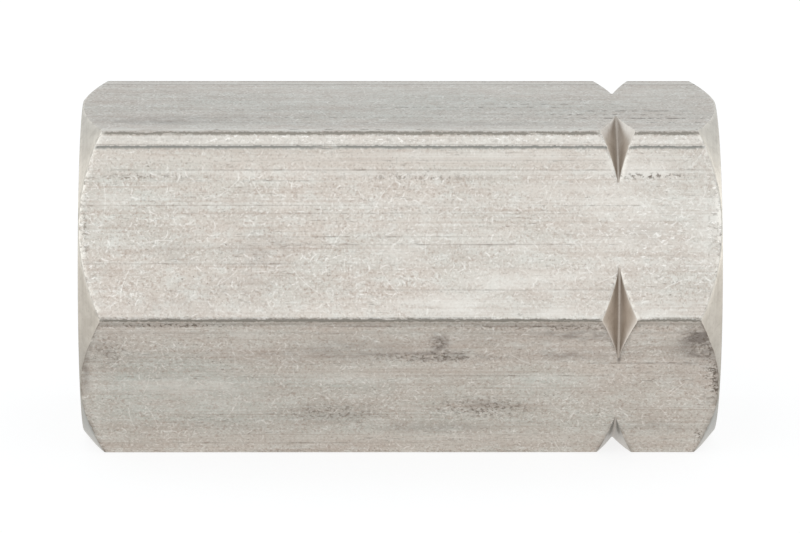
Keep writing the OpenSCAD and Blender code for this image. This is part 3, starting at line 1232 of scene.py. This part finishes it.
@dataclass(frozen=True)
class Softbox:
    """A rectangular soft light that faces the nut. Its lengths are in millimetres."""

    name: str
    place: tuple[float, float, float]
    size: tuple[float, float]
    radiance: float      # how bright its surface looks, where 1 is white

    def build(self) -> None:
        """Adds the light to the scene."""
        data = bpy.data.lights.new(self.name, "AREA")
        data.shape = "RECTANGLE"
        data.size, data.size_y = self.size[0] * MM, self.size[1] * MM
        data.energy = self.radiance * math.pi * data.size * data.size_y
        lamp = bpy.data.objects.new(self.name, data)
        bpy.context.scene.collection.objects.link(lamp)
        lamp.location = Vector(self.place) * MM
        lamp.rotation_euler = Vector(self.place).to_track_quat("Z", "Y").to_euler()


@dataclass(frozen=True)
class Studio:
    """A white floor and surround, soft light, and the camera."""

    floor_z: float
    distance: float = 361.0                        # from the camera to what it aims at, in millimetres
    elevation: float = math.radians(16.4)
    azimuth: float = math.radians(-0.55)
    roll: float = math.radians(0.15)
    lens: float = 283.6
    clip: tuple[float, float] = (0.01, 20.0)
    aim: tuple[float, float] = (0.062, -0.069)     # what it aims at, right of the nut's middle and above it
    surround: str = "#f6fbff"
    ambient: float = 0.8                           # how bright the surround lights the nut
    floor_size: float = 4.0
    sheet: float = 0.8                             # how much light the floor gives back to the nut
    floor_glow: float = 0.82                       # how bright the floor looks in full shadow
    floor_shade: float = 0.25                      # how much light adds to that where there is no shadow
    softboxes: tuple[Softbox, ...] = (
        Softbox("key", (-80, -260, 250), (420, 160), 0.8),
        Softbox("left", (-265, 95, 45), (180, 100), 0.82),
        Softbox("right", (265, 70, 40), (180, 90), 1.4),
    )

    def add_camera(self) -> None:
        """Adds the camera, a long lens looking a little down on the nut."""
        data = bpy.data.cameras.new("camera")
        data.lens = self.lens
        data.clip_start, data.clip_end = self.clip
        camera = bpy.data.objects.new("camera", data)
        bpy.context.scene.collection.objects.link(camera)
        back = Vector((math.sin(self.azimuth) * math.cos(self.elevation),
                       -math.cos(self.azimuth) * math.cos(self.elevation), math.sin(self.elevation)))
        right = Vector((math.cos(self.azimuth), math.sin(self.azimuth), 0))
        aim = right * self.aim[0] + back.cross(right) * self.aim[1]
        upright = (-back).to_track_quat("-Z", "Y")
        camera.rotation_euler = (upright @ Quaternion((0, 0, 1), self.roll)).to_euler()
        camera.location = (aim + back * self.distance) * MM
        bpy.context.scene.camera = camera

    def add_seen(self, tree: NodeTree) -> Node:
        """Adds a mask of what the camera sees, straight or by a reflection.

        Args:
            tree: The node tree that gets it.

        Returns:
            The node of the mask, which is 1 there and 0 where light is gathered.
        """
        path = add_node(tree, "LightPath").outputs
        seen = path["Is Camera Ray"]
        for ray in ("Is Glossy Ray", "Is Transmission Ray"):
            seen = add_node(tree, "Math", {"operation": "MAXIMUM"}, {0: seen, 1: path[ray]})
        return seen

    def add_world(self) -> None:
        """Adds a white surround, which the camera and reflections see at full strength."""
        world = bpy.data.worlds.new("surround")
        bpy.context.scene.world = world
        world.use_nodes = True
        tree = world.node_tree
        tree.nodes.clear()
        lit = add_node(tree, "Background", {"Color": linear(self.surround), "Strength": self.ambient})
        looked_at = add_node(tree, "LightPath").outputs["Is Camera Ray"]
        tone = add_node(tree, "Mix", {"data_type": "RGBA", MIX_BELOW: linear(self.surround),
                                      MIX_ABOVE: WHITE}, {0: looked_at})
        shown = add_node(tree, "Background", {"Strength": 1.0}, {"Color": tone.outputs[MIXED]})
        mix = add_node(tree, "MixShader", links={0: self.add_seen(tree), 1: lit, 2: shown})
        add_node(tree, "OutputWorld", links={"Surface": mix})

    def add_floor(self) -> None:
        """Adds the floor, a wide white sheet that the nut lies on."""
        bpy.ops.mesh.primitive_plane_add(size=self.floor_size, location=(0, 0, self.floor_z))
        floor = bpy.context.object
        floor.name = "floor"
        # Matt white vinyl has no gloss or grain, so all that the eye finds on it is the nut's soft shadow.
        material, tree = new_material("white_sheet")
        sheet = add_node(tree, "BsdfDiffuse", {"Color": (*(self.sheet,) * 3, 1)})
        thin = add_node(tree, "BsdfDiffuse", {"Color": (*(self.floor_shade,) * 3, 1)})
        glow = add_node(tree, "Emission", {"Color": WHITE, "Strength": self.floor_glow})
        bright = add_node(tree, "AddShader", links={0: thin, 1: glow})
        mix = add_node(tree, "MixShader", links={0: self.add_seen(tree), 1: sheet, 2: bright})
        add_node(tree, "OutputMaterial", links={"Surface": mix})
        floor.data.materials.append(material)

    def build(self) -> None:
        """Builds the studio."""
        self.add_world()
        self.add_floor()
        for softbox in self.softboxes:
            softbox.build()
        self.add_camera()


def main() -> None:
    """Builds the nut and its studio, and reports each piece."""
    logging.basicConfig(level=logging.INFO, format="%(message)s")
    scene = bpy.context.scene
    scene.view_settings.view_transform = "Standard"
    sizes = NutSizes.from_frame()
    body = NutBody(sizes)
    nut = body.build()
    body.dress(nut, {
        Surface.DRAWN: DrawnSteel(sizes),
        # Facing and chamfering leave fine rings and a soft grey sheen. Their underside gets painted shade.
        Surface.TURNED: CutSteel("turned_stainless_steel", "#c2bbb0", "#cfc9be", "#aba398", 0.12,
                                 under_shade_r=sizes.rim_r),
        # The grooving tool's sides rub, which leaves its cut paler and warmer, down to a clean bright root.
        # Its cut also gets painted shade towards the root and on its left side, and painted light on its
        # right side.
        Surface.GROOVED: CutSteel("grooved_stainless_steel", "#d6ccc2", "#dfd7cd", "#b8ada1", 0.1,
                                  root_r=sizes.groove_root_r, root_x=sizes.groove_x,
                                  under_shade_r=sizes.groove_root_r),
        # The tap tears the metal a little, and its oil stays, so the threads are darker.
        Surface.TAPPED: CutSteel("tapped_stainless_steel", "#b1aca4", "#c9c5bd", "#857f77", 0.14),
    })
    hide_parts(NODE)
    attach(nut, BODY)
    log.info("%s: %d faces", nut.name, sum(p.loop_total - 2 for p in nut.data.polygons))
    Studio(floor_z=-sizes.flat_r * MM).build()


if __name__ == "__main__":
    main()
